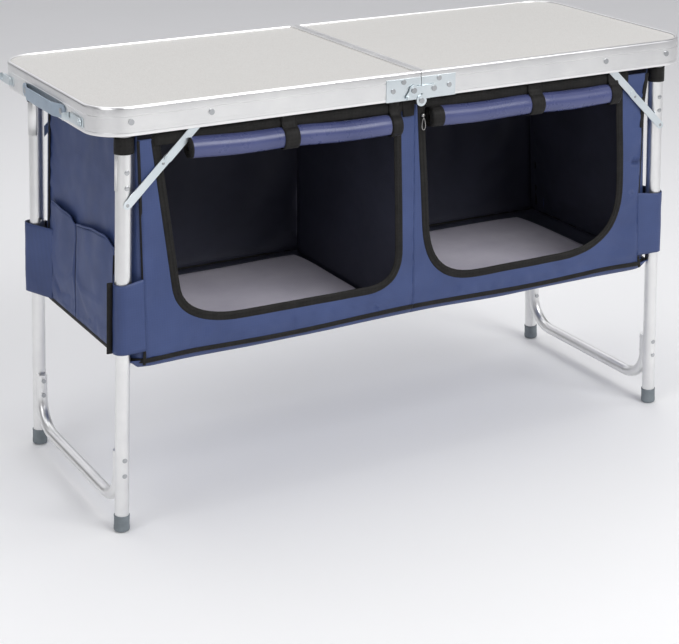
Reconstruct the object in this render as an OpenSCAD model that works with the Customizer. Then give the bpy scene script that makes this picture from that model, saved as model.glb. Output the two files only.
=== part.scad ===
// Folding camp kitchen table with an organiser under the top.
// X runs along the table, Y from front to rear, Z up; the origin is on the floor below the centre.

/* [Table top] */
// Length of the open top
table_len = 1200; // [1100:10:1300]
// Width of the top across the rims
table_wid = 475; // [455:1:520]
// Height of the top above the floor
table_h = 755; // [745:1:765]
// Height of the rim extrusion
rim_h = 49; // [47:1:52]
// Radius of the outer corners
corner_r = 62; // [50:1:75]
// Thickness of the laminated panels
panel_t = 7; // [5:0.5:7.5]
// Width of each rail beside the seam
seam_rail_w = 9; // [7:0.5:12]

/* [Legs] */
// Outer diameter of the upper leg tubes
upper_d = 28; // [27.5:0.5:28.5]
// Outer diameter of the lower leg tubes
lower_d = 25; // [24:0.5:25]
// Outward lean of the legs in degrees
leg_lean = 3.1; // [2:0.1:5]
// Length of an upper tube below its axle
upper_len = 318; // [310:1:325]
// Diameter of the U-shaped foot bars
foot_bar_d = 22; // [20:1:23]
// Diameter of the rubber feet
foot_d = 28.4; // [28:0.2:30]

/* [Stays] */
// Width of the folding stay bars
stay_w = 14; // [12:1:16]
// Thickness of the folding stay bars
stay_t = 2; // [1.5:0.5:2]

/* [Organiser] */
// Height of the organiser floor above the ground
floor_z = 302; // [295:1:310]
// Thickness of the fabric walls
cloth_t = 4; // [3:0.5:5]
// Diameter of the rolled-up doors
roll_d = 36; // [30:1:38]

/* [Hidden] */
$fn = 64;
skin = 1.6;
lip_w = 6;
half_len = table_len / 2;
half_wid = table_wid / 2;
rim_bottom = table_h - rim_h;
seam_gap = 0.5;
ledge_z = table_h - 2 - panel_t - 1.6;

// side view points of the left half, as [x, z]
axle_at = [-half_len + 59, table_h - 25];
stay_reach = 141;
stay_on_rim = axle_at + [stay_reach, 0];
stay_on_leg = axle_at - stay_reach * [sin(leg_lean), cos(leg_lean)];
stay_elbow = (stay_on_rim + stay_on_leg) / 2;
hinge_at = [0, rim_bottom - 3];
lever_at = [-17, rim_bottom + 17];
lock_pin_at = [24, rim_bottom + 17];

// layers outwards from a rim's face: leaf, second ear, lever, pin heads
leaf_t = 1.5;
layer_gap = 0.2;
ear_layer = half_wid + leaf_t + layer_gap;
lever_layer = ear_layer + leaf_t + layer_gap;
head_layer = lever_layer + leaf_t + layer_gap;
ear_r = 10;

// legs
leg_y = 208;
tube_gap = 0.3;
tube_wall = 1.2;
upper_r = upper_d / 2;
upper_bore_r = lower_d / 2 + tube_gap;
lower_r = lower_d / 2;
axle_r = 4;
rim_head_r = 5;
leg_drop = axle_at[1] / cos(leg_lean);
upper_end = 7;
lower_top = upper_len - 40;
button_drop = upper_len - 18;
bar_top_drop = leg_drop - 147;
crossbar_drop = leg_drop - 44;
bar_bend_r = 62;
bar_y = leg_y - 13;
foot_h = 30;
rivet_drops = [bar_top_drop + 11, bar_top_drop + 40];
rivet_seat = leg_y - bar_y + foot_bar_d / 2 + 0.4;

// stay layers, measured from the centre plane
leg_link_y = leg_y + upper_r + 1.6;
rim_link_y = leg_link_y + stay_t + 0.3;
stay_pin_r = 3;

// organiser
front_y = -218;
back_y = 185;
side_x = -half_len + 45;
side_top_x = -half_len + 71;
post_x = -half_len + 73;
organiser_top = rim_bottom - 12;
window_top = organiser_top - 8;
wall_bottom = floor_z - 5;
sleeve_low = 330;
sleeve_high = 452;
roll_y = -224;
roll_z = 665;

// left end fittings
handle_span = 202;
handle_rivet_y = 81;
end_z = rim_bottom + 17;
catch_y = 169;

// ---- helpers ----

module to_right() {
    mirror([1, 0, 0]) children();
}

module to_rear() {
    mirror([0, 1, 0]) children();
}

module both_faces() {
    children();
    to_rear() children();
}

// a cylinder along Y between two distances in front of the centre plane
module front_rod(at, r, near, far) {
    translate([at[0], -near, at[1]]) rotate([90, 0, 0]) cylinder(r = r, h = far - near);
}

// a flat shape drawn in X and Z, standing between two distances in front of the centre plane
module front_plate(near, far) {
    translate([0, -near, 0]) rotate([90, 0, 0]) linear_extrude(height = far - near) children();
}

module bar_shape(p, q, w) {
    length = norm(q - p);
    turn = atan2(q[1] - p[1], q[0] - p[0]);
    translate(p) rotate(turn) union() {
        translate([0, -w / 2]) square([length, w]);
        circle(r = w / 2);
        translate([length, 0]) circle(r = w / 2);
    }
}

// the left half seen from above, shrunk by an inset and open at the seam
module half_outline(inset, seam_x) {
    x0 = -half_len + inset;
    y0 = half_wid - inset;
    r = corner_r - inset;
    union() {
        translate([x0 + r, -y0]) square([seam_x - x0 - r, 2 * y0]);
        translate([x0, -y0 + r]) square([r + 1, 2 * (y0 - r)]);
        translate([x0 + r, y0 - r]) circle(r = r, $fn = 96);
        translate([x0 + r, -y0 + r]) circle(r = r, $fn = 96);
    }
}

module rim_ring(outer, inner, low, high) {
    translate([0, 0, low]) linear_extrude(height = high - low) difference() {
        half_outline(outer, -seam_gap);
        half_outline(inner, 5);
    }
}

// leg coordinates: origin on the axle, Z along the leaning tube
module leg_space(y) {
    translate([axle_at[0], y, axle_at[1]]) rotate([0, leg_lean, 0]) children();
}

module tube(r, bore_r, top, bottom) {
    translate([0, 0, bottom]) difference() {
        cylinder(r = r, h = top - bottom);
        translate([0, 0, -1]) cylinder(r = bore_r, h = top - bottom + 2);
    }
}

// ---- table top ----

// the board's edge steps down a little where the rim's lip covers it
module panel_left_shape() {
    step = 0.6;
    seam_x = -seam_gap - seam_rail_w;
    translate([0, 0, ledge_z + 1.6]) union() {
        linear_extrude(height = panel_t - step) half_outline(skin + 0.1, seam_x);
        linear_extrude(height = panel_t) half_outline(lip_w + 0.3, seam_x);
    }
}

module left_panel() {
    color([0.82, 0.81, 0.79]) panel_left_shape();
}

module right_panel() {
    color([0.82, 0.81, 0.79]) to_right() panel_left_shape();
}

module rim_left_shape() {
    difference() {
        union() {
            rim_ring(0, 8, rim_bottom, rim_bottom + 2);
            rim_ring(0, skin, rim_bottom, rim_bottom + 6);
            rim_ring(0.5, skin, rim_bottom + 6, rim_bottom + 12);
            rim_ring(0, skin, rim_bottom + 12, rim_bottom + 32);
            rim_ring(0.5, skin, rim_bottom + 32, rim_bottom + 34);
            rim_ring(0, skin, rim_bottom + 34, table_h - 2);
            rim_ring(skin, 10, ledge_z, ledge_z + 1.5);
            rim_ring(0.8, lip_w, table_h - 2, table_h);
        }
        translate([-seam_gap - seam_rail_w, -half_wid + skin, rim_bottom - 1])
            cube([20, table_wid - 2 * skin, rim_h + 2]);
        both_faces() front_rod(axle_at, axle_r, 200, 250);
        both_faces() front_rod(stay_on_rim, stay_pin_r, 200, 250);
    }
}

module left_rim() {
    color("silver") rim_left_shape();
}

module right_rim() {
    color("silver") to_right() rim_left_shape();
}

module seam_rail_left_shape() {
    x0 = -seam_gap - seam_rail_w;
    y0 = half_wid - skin;
    difference() {
        translate([x0, -y0, rim_bottom]) cube([seam_rail_w, 2 * y0, rim_h]);
        translate([x0 - 1, -y0 - 1, rim_bottom + 2]) cube([seam_rail_w - 1, 2 * y0 + 2, rim_h - 5]);
        translate([x0 + seam_rail_w / 2, -y0 - 1, table_h - 0.6]) cube([0.8, 2 * y0 + 2, 1]);
    }
}

module left_seam_rail() {
    color("silver") seam_rail_left_shape();
}

module right_seam_rail() {
    color("silver") to_right() seam_rail_left_shape();
}

// ---- centre hinges and their locks ----

module leaf_shape() {
    translate([-70, rim_bottom]) square([70 - seam_gap, 38.6]);
}

module leaf_holes() {
    translate([-57, rim_bottom + 19]) circle(r = 3);
    translate([-36, rim_bottom + 33]) circle(r = 3);
}

module left_hinge_leaves() {
    color([0.84, 0.88, 0.9]) both_faces() front_plate(half_wid, half_wid + leaf_t) difference() {
        union() {
            leaf_shape();
            translate(hinge_at) circle(r = ear_r);
        }
        translate(hinge_at) circle(r = 3);
        translate(lever_at) circle(r = 3);
        leaf_holes();
    }
}

// the right ear stands one layer further out, so the two ears pass each other
module right_hinge_leaves() {
    color([0.84, 0.88, 0.9]) both_faces() union() {
        front_plate(half_wid, half_wid + leaf_t) difference() {
            mirror([1, 0]) leaf_shape();
            translate(hinge_at) circle(r = ear_r + 0.5);
            translate(lock_pin_at) circle(r = 3);
            mirror([1, 0]) leaf_holes();
        }
        front_plate(half_wid + leaf_t, ear_layer) difference() {
            translate([ear_r + 2, rim_bottom]) square([5, 24]);
            translate(hinge_at) circle(r = ear_r + 0.5);
        }
        front_plate(ear_layer, ear_layer + leaf_t) difference() {
            union() {
                translate(hinge_at) circle(r = ear_r);
                translate([1, rim_bottom]) square([ear_r + 6, 24]);
            }
            translate(hinge_at) circle(r = 3.06);
        }
    }
}

module hinge_pins() {
    color("silver") both_faces() union() {
        front_rod(hinge_at, 3, half_wid, ear_layer + leaf_t + 0.1);
        front_rod(hinge_at, 5, ear_layer + leaf_t + 0.1, ear_layer + leaf_t + 1.4);
    }
}

// flat lever with a thumb tab at its left end and an open-bottomed hook over the lock pin
module lever_shape() {
    pin_clear = 3.4;
    difference() {
        union() {
            bar_shape(lever_at, lock_pin_at + [0, 1], 13);
            translate(lever_at) circle(r = 9);
            bar_shape(lever_at + [-5, -2], lever_at + [-12, -11], 8);
        }
        translate(lever_at) circle(r = 3.06);
        translate(lock_pin_at) circle(r = pin_clear);
        translate(lock_pin_at + [-pin_clear, -12]) square([2 * pin_clear, 12]);
        translate(lock_pin_at + [0, -12]) square([12, 10]);
    }
}

module lever_at_front() {
    front_plate(lever_layer, lever_layer + leaf_t) lever_shape();
    front_plate(lever_layer, lever_layer + 5) translate(lever_at + [-15, -14]) square([5, 5]);
}

module front_lock_lever() {
    color([0.84, 0.88, 0.9]) lever_at_front();
}

module rear_lock_lever() {
    color([0.84, 0.88, 0.9]) to_rear() lever_at_front();
}

module lever_rivets() {
    color("silver") both_faces() union() {
        front_rod(lever_at, 3, half_wid, head_layer - 0.1);
        front_rod(lever_at, 6, half_wid + leaf_t, lever_layer - 0.1);
        front_rod(lever_at, 5.2, head_layer - 0.1, head_layer + 1.5);
    }
}

module lock_pins() {
    color("silver") both_faces() union() {
        front_rod(lock_pin_at, 3, half_wid, head_layer);
        front_rod(lock_pin_at, 5, head_layer, head_layer + 1.3);
    }
}

module leaf_rivets_left_shape() {
    both_faces() for (at = [[-57, rim_bottom + 19], [-36, rim_bottom + 33]]) {
        front_rod(at, 3, half_wid, half_wid + leaf_t);
        front_rod(at, 4.5, half_wid + leaf_t, half_wid + leaf_t + 1.4);
    }
}

module left_rim_rivets() {
    color("silver") leaf_rivets_left_shape();
}

module right_rim_rivets() {
    color("silver") to_right() leaf_rivets_left_shape();
}

// ---- legs ----

module axles_left_shape() {
    both_faces() union() {
        front_rod(axle_at, axle_r, leg_y - upper_r - 1, half_wid);
        front_rod(axle_at, 8, leg_y + upper_r + 0.2, half_wid - skin - 1.8);
        front_rod(axle_at, rim_head_r, half_wid, half_wid + 1.8);
        front_rod(axle_at, 6.5, leg_y - upper_r - 2.6, leg_y - upper_r - 0.5);
    }
}

module left_leg_axles() {
    color("silver") axles_left_shape();
}

module right_leg_axles() {
    color("silver") to_right() axles_left_shape();
}

// the front left tube, with its axle bore, stud hole and two holes for the snap button
module upper_leg_shape() {
    difference() {
        leg_space(-leg_y) tube(upper_r, upper_bore_r, upper_end, -upper_len);
        front_rod(axle_at, axle_r + 0.06, 150, 250);
        front_rod(stay_on_leg, stay_pin_r, leg_y, 250);
        leg_space(-leg_y) for (drop = [button_drop, 279]) {
            translate([0, 0, -drop]) rotate([-90, 0, 0]) cylinder(r = 4.2, h = 30);
        }
    }
}

module front_left_upper_leg() {
    color("silver") upper_leg_shape();
}

module rear_left_upper_leg() {
    color("silver") to_rear() upper_leg_shape();
}

module front_right_upper_leg() {
    color("silver") to_right() upper_leg_shape();
}

module rear_right_upper_leg() {
    color("silver") to_right() to_rear() upper_leg_shape();
}

module lower_leg_shape() {
    leg_space(-leg_y) difference() {
        tube(lower_r, lower_r - tube_wall, -lower_top, -leg_drop + 4);
        translate([0, 0, -button_drop]) rotate([-90, 0, 0]) cylinder(r = 4.2, h = 30);
        for (drop = rivet_drops) {
            translate([0, 0, -drop]) rotate([-90, 0, 0]) cylinder(r = 2.4, h = 30);
        }
    }
}

module front_left_lower_leg() {
    color("silver") lower_leg_shape();
}

module rear_left_lower_leg() {
    color("silver") to_rear() lower_leg_shape();
}

module front_right_lower_leg() {
    color("silver") to_right() lower_leg_shape();
}

module rear_right_lower_leg() {
    color("silver") to_right() to_rear() lower_leg_shape();
}

// one U-shaped tube whose ends are pressed round the legs
module foot_bar_left_shape() {
    r = foot_bar_d / 2;
    stub_bottom = crossbar_drop - bar_bend_r;
    leg_space(0) difference() {
        union() {
            translate([0, -bar_y + bar_bend_r, -crossbar_drop])
                rotate([-90, 0, 0]) cylinder(r = r, h = 2 * (bar_y - bar_bend_r));
            both_faces() translate([0, -bar_y, -stub_bottom]) cylinder(r = r, h = stub_bottom - bar_top_drop);
            both_faces() translate([0, -bar_y + bar_bend_r, -stub_bottom])
                rotate([0, 90, 0]) rotate([0, 0, -90]) rotate_extrude(angle = 90)
                translate([bar_bend_r, 0]) circle(r = r);
        }
        both_faces() translate([0, -leg_y, -leg_drop]) cylinder(r = lower_r + 0.05, h = leg_drop);
        both_faces() for (drop = rivet_drops) {
            translate([0, -leg_y, -drop]) rotate([-90, 0, 0]) union() {
                cylinder(r = 2.4, h = 40);
                translate([0, 0, rivet_seat]) cylinder(r = 4.4, h = 20);
            }
        }
    }
}

module left_foot_bar() {
    color("silver") foot_bar_left_shape();
}

module right_foot_bar() {
    color("silver") to_right() foot_bar_left_shape();
}

module bar_rivets_left_shape() {
    leg_space(0) both_faces() for (drop = rivet_drops) {
        translate([0, -leg_y, -drop]) rotate([-90, 0, 0]) union() {
            translate([0, 0, lower_r - 2]) cylinder(r = 2.4, h = rivet_seat - lower_r + 2);
            translate([0, 0, rivet_seat]) cylinder(r = 4.2, h = 1.6);
        }
    }
}

module left_bar_rivets() {
    color("silver") bar_rivets_left_shape();
}

module right_bar_rivets() {
    color("silver") to_right() bar_rivets_left_shape();
}

module feet_left_shape() {
    both_faces() difference() {
        leg_space(-leg_y) difference() {
            translate([0, 0, -leg_drop - 3]) cylinder(r = foot_d / 2, h = foot_h + 3);
            translate([0, 0, -leg_drop + 4]) cylinder(r = lower_r, h = foot_h);
        }
        translate([-table_len, -table_wid, -20]) cube([table_len, 2 * table_wid, 20]);
    }
}

module left_feet() {
    color([0.49, 0.53, 0.55]) feet_left_shape();
}

module right_feet() {
    color([0.49, 0.53, 0.55]) to_right() feet_left_shape();
}

module snap_buttons_left_shape() {
    both_faces() leg_space(-leg_y) translate([0, 0, -button_drop]) rotate([-90, 0, 0]) union() {
        translate([0, 0, lower_r - tube_wall - 3]) cylinder(r = 4, h = tube_wall + 3 + 4.2);
        translate([0, 0, lower_r - tube_wall - 4]) cylinder(r = 5.5, h = 1.5);
    }
}

module left_snap_buttons() {
    color("silver") snap_buttons_left_shape();
}

module right_snap_buttons() {
    color("silver") to_right() snap_buttons_left_shape();
}

// ---- folding stays ----

module rim_links_left_shape() {
    both_faces() union() {
        front_plate(rim_link_y, rim_link_y + stay_t) difference() {
            bar_shape(stay_on_rim, stay_elbow, stay_w);
            translate(stay_on_rim) circle(r = stay_pin_r + 0.06);
        }
        front_rod(stay_elbow, 4.5, rim_link_y + stay_t, rim_link_y + stay_t + 1);
    }
}

module left_stay_rim_links() {
    color([0.84, 0.88, 0.9]) rim_links_left_shape();
}

module right_stay_rim_links() {
    color([0.84, 0.88, 0.9]) to_right() rim_links_left_shape();
}

module leg_links_left_shape() {
    both_faces() union() {
        front_plate(leg_link_y, leg_link_y + stay_t) difference() {
            bar_shape(stay_on_leg, stay_elbow, stay_w);
            translate(stay_on_leg) circle(r = stay_pin_r + 0.06);
        }
        front_rod(stay_elbow, 4.5, leg_link_y - 0.8, leg_link_y);
    }
}

module left_stay_leg_links() {
    color([0.84, 0.88, 0.9]) leg_links_left_shape();
}

module right_stay_leg_links() {
    color([0.84, 0.88, 0.9]) to_right() leg_links_left_shape();
}

module stay_pins_left_shape() {
    both_faces() union() {
        front_rod(stay_on_rim, stay_pin_r, rim_link_y, half_wid);
        front_rod(stay_on_rim, 6, rim_link_y + stay_t + 0.2, half_wid - skin);
        front_rod(stay_on_rim, rim_head_r, half_wid, half_wid + 1.6);
    }
}

module left_stay_pins() {
    color("silver") stay_pins_left_shape();
}

module right_stay_pins() {
    color("silver") to_right() stay_pins_left_shape();
}

module stay_studs_left_shape() {
    both_faces() union() {
        front_rod(stay_on_leg, stay_pin_r, leg_y + upper_bore_r + 0.1, leg_link_y + stay_t);
        front_rod(stay_on_leg, 5, leg_y + upper_r, leg_link_y - 0.1);
    }
}

module left_stay_studs() {
    color("silver") stay_studs_left_shape();
}

module right_stay_studs() {
    color("silver") to_right() stay_studs_left_shape();
}

// ---- left end: carry handle and case catches ----

module carry_handle() {
    bow = 8;
    half_grip = handle_rivet_y - 16;
    color([0.45, 0.52, 0.58]) difference() {
        translate([0, 0, end_z - 12]) linear_extrude(height = 24) union() {
            translate([-half_len - bow - 3, -half_grip]) square([3, 2 * half_grip]);
            polygon([[-half_len, -handle_span / 2], [-half_len, -handle_rivet_y + 9],
                [-half_len - bow, -half_grip], [-half_len - bow - 3, -half_grip],
                [-half_len - 3, -handle_rivet_y + 6], [-half_len - 3, -handle_span / 2]]);
            polygon([[-half_len, handle_span / 2], [-half_len, handle_rivet_y - 9],
                [-half_len - bow, half_grip], [-half_len - bow - 3, half_grip],
                [-half_len - 3, handle_rivet_y - 6], [-half_len - 3, handle_span / 2]]);
        }
        for (y = [-handle_rivet_y - 6, handle_rivet_y + 6]) {
            translate([-half_len - 10, y, end_z]) rotate([0, 90, 0]) cylinder(r = 3, h = 20);
        }
    }
}

module handle_studs() {
    color("silver") for (y = [-handle_rivet_y - 6, handle_rivet_y + 6]) {
        translate([-half_len - 3, y, end_z]) rotate([0, 90, 0]) cylinder(r = 3, h = 3);
        translate([-half_len - 4.8, y, end_z]) rotate([0, 90, 0]) cylinder(r = 5.5, h = 1.8);
    }
}

module catch_bases() {
    color("silver") for (y = [-catch_y, catch_y]) {
        translate([-half_len - 1.5, y - 11, end_z - 8]) cube([1.5, 40, 16]);
        translate([-half_len - 5, y, end_z]) rotate([0, 90, 0]) cylinder(r = 3, h = 3.5);
        translate([-half_len - 6.5, y, end_z]) rotate([0, 90, 0]) cylinder(r = 5.2, h = 1.5);
    }
}

// flat arm on the catch's pivot, with a notch for the strike and a tip bent outwards
module catch_arm(y) {
    pin_clear = 3.4;
    union() {
        translate([-half_len - 4.8, y, end_z]) rotate([90, 0, 90]) linear_extrude(height = 2.8) difference() {
            bar_shape([0, 0], [42, 0], 15);
            circle(r = 3.06);
            translate([38, 0]) circle(r = pin_clear);
            translate([38 - pin_clear, 0]) square([2 * pin_clear, 12]);
        }
        translate([-half_len - 15, y + 45, end_z - 6]) cube([11, 2.5, 12]);
    }
}

module front_catch_arm() {
    color([0.84, 0.88, 0.9]) catch_arm(-catch_y);
}

module rear_catch_arm() {
    color([0.84, 0.88, 0.9]) catch_arm(catch_y);
}

module catch_strikes() {
    color("silver") for (y = [-catch_y, catch_y]) {
        translate([half_len, y - 12, end_z - 8]) cube([1.5, 24, 16]);
        translate([half_len + 1.5, y, end_z - 1]) rotate([0, 90, 0]) cylinder(r = 3, h = 3.7);
        translate([half_len + 5.2, y, end_z - 1]) rotate([0, 90, 0]) cylinder(r = 4.6, h = 1.3);
    }
}

// ---- organiser: soft walls, floor pads and rolled doors ----

module soft_left_floor(low, high, end_margin, margin) {
    translate([side_x + end_margin, front_y + margin, low])
        cube([-side_x - end_margin - cloth_t - 1, back_y - front_y - 2 * margin, high - low]);
}

module left_floor_pad() {
    color([0.6, 0.58, 0.64]) soft_left_floor(floor_z + 0.4, floor_z + 4, 30, 9);
}

module right_floor_pad() {
    color([0.6, 0.58, 0.64]) to_right() soft_left_floor(floor_z + 0.4, floor_z + 4, 30, 9);
}

module left_organiser_base() {
    color([0.23, 0.33, 0.48]) soft_left_floor(wall_bottom, floor_z, 9, 5);
}

module right_organiser_base() {
    color([0.23, 0.33, 0.48]) to_right() soft_left_floor(wall_bottom, floor_z, 9, 5);
}

// opening of the left front panel: slanted sides and a round-cornered bottom edge
module window_shape(shift) {
    translate([shift, 0]) hull() {
        translate([-398, 458]) circle(r = 88);
        translate([-94, 430]) circle(r = 60);
        translate([-492, window_top]) square([2, 0.1]);
        translate([-38, window_top]) square([2, 0.1]);
    }
}

module front_panel_shape(window_shift) {
    front_plate(-front_y, -front_y + cloth_t) difference() {
        polygon([[post_x, organiser_top], [-1, organiser_top], [-1, wall_bottom + 6],
            [-120, wall_bottom], [post_x + 40, wall_bottom], [post_x, wall_bottom + 8]]);
        window_shape(window_shift);
    }
}

module left_front_panel() {
    color([0.23, 0.33, 0.48]) front_panel_shape(0);
}

module right_front_panel() {
    color([0.23, 0.33, 0.48]) to_right() front_panel_shape(16);
}

// the outer side and the back of one compartment
module walls_left_shape() {
    tall = organiser_top - wall_bottom;
    front_plate(-back_y + 28, -front_y - 36) polygon([[side_x, wall_bottom], [side_x + cloth_t, wall_bottom],
        [side_top_x + cloth_t, organiser_top], [side_top_x, organiser_top]]);
    translate([side_x + 30, back_y, wall_bottom]) cube([-side_x - 31, cloth_t, tall]);
}

module left_organiser_walls() {
    color([0.2, 0.3, 0.44]) walls_left_shape();
}

module right_organiser_walls() {
    color([0.2, 0.3, 0.44]) to_right() walls_left_shape();
}

module centre_partition() {
    color([0.12, 0.17, 0.26]) translate([-cloth_t, front_y + 4, floor_z + 0.5])
        cube([cloth_t, back_y - front_y - 8, organiser_top - floor_z - 30]);
}

module roll_between(x0, x1) {
    translate([x0, roll_y, roll_z]) rotate([0, 90, 0]) cylinder(r = roll_d / 2, h = x1 - x0);
}

module left_rolled_door() {
    color([0.25, 0.35, 0.5]) roll_between(-436, -54);
}

module right_rolled_door() {
    color([0.25, 0.35, 0.5]) roll_between(27, 427);
}

module sleeves_left_shape() {
    both_faces() leg_space(-leg_y) tube(23, 18, sleeve_high - axle_at[1], sleeve_low - axle_at[1]);
}

module left_leg_sleeves() {
    color([0.23, 0.33, 0.48]) sleeves_left_shape();
}

module right_leg_sleeves() {
    color([0.23, 0.33, 0.48]) to_right() sleeves_left_shape();
}

left_panel();
right_panel();
left_rim();
right_rim();
left_seam_rail();
right_seam_rail();
left_hinge_leaves();
right_hinge_leaves();
hinge_pins();
front_lock_lever();
rear_lock_lever();
lever_rivets();
lock_pins();
left_rim_rivets();
right_rim_rivets();
left_leg_axles();
right_leg_axles();
left_stay_pins();
right_stay_pins();
front_left_upper_leg();
rear_left_upper_leg();
front_right_upper_leg();
rear_right_upper_leg();
front_left_lower_leg();
rear_left_lower_leg();
front_right_lower_leg();
rear_right_lower_leg();
left_foot_bar();
right_foot_bar();
left_bar_rivets();
right_bar_rivets();
left_feet();
right_feet();
left_snap_buttons();
right_snap_buttons();
left_stay_rim_links();
right_stay_rim_links();
left_stay_leg_links();
right_stay_leg_links();
left_stay_studs();
right_stay_studs();
carry_handle();
handle_studs();
catch_bases();
front_catch_arm();
rear_catch_arm();
catch_strikes();
left_floor_pad();
right_floor_pad();
left_organiser_base();
right_organiser_base();
left_front_panel();
right_front_panel();
left_organiser_walls();
right_organiser_walls();
centre_partition();
left_rolled_door();
right_rolled_door();
left_leg_sleeves();
right_leg_sleeves();
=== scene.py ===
"""Looks of the camp kitchen table. Lengths in the functions are millimetres in the row frame."""
from math import atan2, copysign, cos, exp, pi, radians, sin, tan, tanh

import bmesh
import bpy
import numpy as np
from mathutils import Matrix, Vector, noise


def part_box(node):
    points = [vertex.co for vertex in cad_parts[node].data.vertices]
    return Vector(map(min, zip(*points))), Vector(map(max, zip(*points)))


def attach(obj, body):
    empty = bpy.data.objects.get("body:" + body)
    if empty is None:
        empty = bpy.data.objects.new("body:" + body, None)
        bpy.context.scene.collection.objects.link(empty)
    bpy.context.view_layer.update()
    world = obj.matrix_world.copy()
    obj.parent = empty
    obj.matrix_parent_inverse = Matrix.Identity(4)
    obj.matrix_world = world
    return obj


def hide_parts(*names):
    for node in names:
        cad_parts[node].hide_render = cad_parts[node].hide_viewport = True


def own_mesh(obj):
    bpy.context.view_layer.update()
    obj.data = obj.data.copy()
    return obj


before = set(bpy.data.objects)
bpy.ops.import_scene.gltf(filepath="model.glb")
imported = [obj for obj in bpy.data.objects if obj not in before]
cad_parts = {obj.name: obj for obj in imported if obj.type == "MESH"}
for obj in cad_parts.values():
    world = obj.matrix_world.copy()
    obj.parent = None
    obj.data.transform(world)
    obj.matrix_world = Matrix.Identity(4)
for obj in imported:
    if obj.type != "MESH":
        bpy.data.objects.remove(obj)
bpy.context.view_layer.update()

MM = 0.001

# ---- places, from the frame ----


def mm_box(node):
    """Lowest and highest corner of a CAD node in millimetres."""
    low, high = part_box(node)
    return low / MM, high / MM


rim_low, rim_high = mm_box("left_rim")
HALF_LEN = -rim_low.x
HALF_WID = rim_high.y
TOP_Z = rim_high.z
RIM_Z = rim_low.z
AXLE_X, AXLE_Z, LEG_Y, LEAN = 541, 730, 208, radians(3.1)
UPPER_R, LOWER_R = 14, 12.5
BRACKET_TOP, BRACKET_LEN, BRACKET_WRAP = 22, 96, (-22, 97)
STAY_REACH, BUTTON_DROP, BAR_END = 141, 300, AXLE_Z / cos(LEAN) - 147
CORNER_R = 62
FRONT_Y = mm_box("left_front_panel")[1].y - 2
BACK_Y = mm_box("left_organiser_walls")[1].y - 2
FLOOR_Z = mm_box("left_floor_pad")[0].z
CLOTH_TOP = mm_box("left_front_panel")[1].z
SIDE_LOW = 311
ROLL_Y, ROLL_Z = FRONT_Y - 4, 668.5
CENTRE_X, HALF_HEM = -1, 530
WALL_X, WALL_Z, WALL_SPLAY, WALL_FALL = 528, 706, 27, 395
WALL_LOW, WALL_TOP = SIDE_LOW - 1, CLOTH_TOP + 8
BASE_DEEP = BACK_Y - FRONT_Y + 2
CLOTH_SLACK, CLOTH_FRAMES = 0.012, 18
EDGE_ANGLE = radians(35)
EYE, LENS, YAW, PITCH = (-1.5343, -2.6998, 1.3897), 89.97, radians(-29.135), radians(20.777)


# ---- material helpers ----


class Graph:
    """The node tree of a new material, or of a world, with short ways to add and join nodes."""

    def __init__(self, name, world=None, shader="Principled BSDF", coords="Object"):
        self.owner = world or bpy.data.materials.new(name)
        self.owner.use_nodes = True
        self.tree = self.owner.node_tree
        self.shader = self.tree.nodes[shader]
        self.coords = self.add("ShaderNodeTexCoord").outputs[coords]

    def add(self, kind, **values):
        node = self.tree.nodes.new(kind)
        for key, value in values.items():
            setattr(node, key, value)
        return node

    def join(self, source, target):
        self.tree.links.new(source, target)

    def put(self, **values):
        for key, value in values.items():
            self.shader.inputs[key.replace("_", " ")].default_value = value

    def stretched(self, scale):
        mapping = self.add("ShaderNodeMapping")
        mapping.inputs["Scale"].default_value = scale
        self.join(self.coords, mapping.inputs["Vector"])
        return mapping.outputs["Vector"]

    def noise(self, scale, detail=4, rough=0.55, vector=None):
        node = self.add("ShaderNodeTexNoise")
        node.inputs["Scale"].default_value = scale
        node.inputs["Detail"].default_value = detail
        node.inputs["Roughness"].default_value = rough
        self.join(vector or self.coords, node.inputs["Vector"])
        return node.outputs["Fac"]

    def ramp(self, source, stops):
        node = self.add("ShaderNodeValToRGB")
        ramp = node.color_ramp
        while len(ramp.elements) < len(stops):
            ramp.elements.new(0.5)
        for element, (place, colour) in zip(ramp.elements, stops):
            element.position = place
            element.color = (*colour, 1)
        self.join(source, node.inputs["Fac"])
        return node.outputs["Color"]

    def mix(self, factor, a, b, kind="MIX"):
        node = self.add("ShaderNodeMix", data_type="RGBA", blend_type=kind)
        for socket, value in (("Factor", factor), ("A", a), ("B", b)):
            target = [s for s in node.inputs if s.name == socket and s.enabled][0]
            if isinstance(value, bpy.types.NodeSocket):
                self.join(value, target)
            else:
                target.default_value = value if socket == "Factor" else (*value, 1)
        return [s for s in node.outputs if s.enabled][0]

    def maths(self, kind, a, b):
        node = self.add("ShaderNodeMath", operation=kind)
        for i, value in enumerate((a, b)):
            if isinstance(value, bpy.types.NodeSocket):
                self.join(value, node.inputs[i])
            else:
                node.inputs[i].default_value = value
        return node.outputs[0]

    def ranged(self, source, low, high):
        node = self.add("ShaderNodeMapRange")
        node.inputs["To Min"].default_value = low
        node.inputs["To Max"].default_value = high
        self.join(source, node.inputs["Value"])
        return node.outputs["Result"]

    def bump(self, height, distance, strength=1, before=None):
        node = self.add("ShaderNodeBump")
        node.inputs["Distance"].default_value = distance * MM
        node.inputs["Strength"].default_value = strength
        self.join(height, node.inputs["Height"])
        if before is not None:
            self.join(before, node.inputs["Normal"])
        return node.outputs["Normal"]

    def finish(self, colour=None, roughness=None, normal=None):
        for source, name in ((colour, "Base Color"), (roughness, "Roughness"), (normal, "Normal")):
            if source is not None:
                self.join(source, self.shader.inputs[name])
        return self.owner


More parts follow.
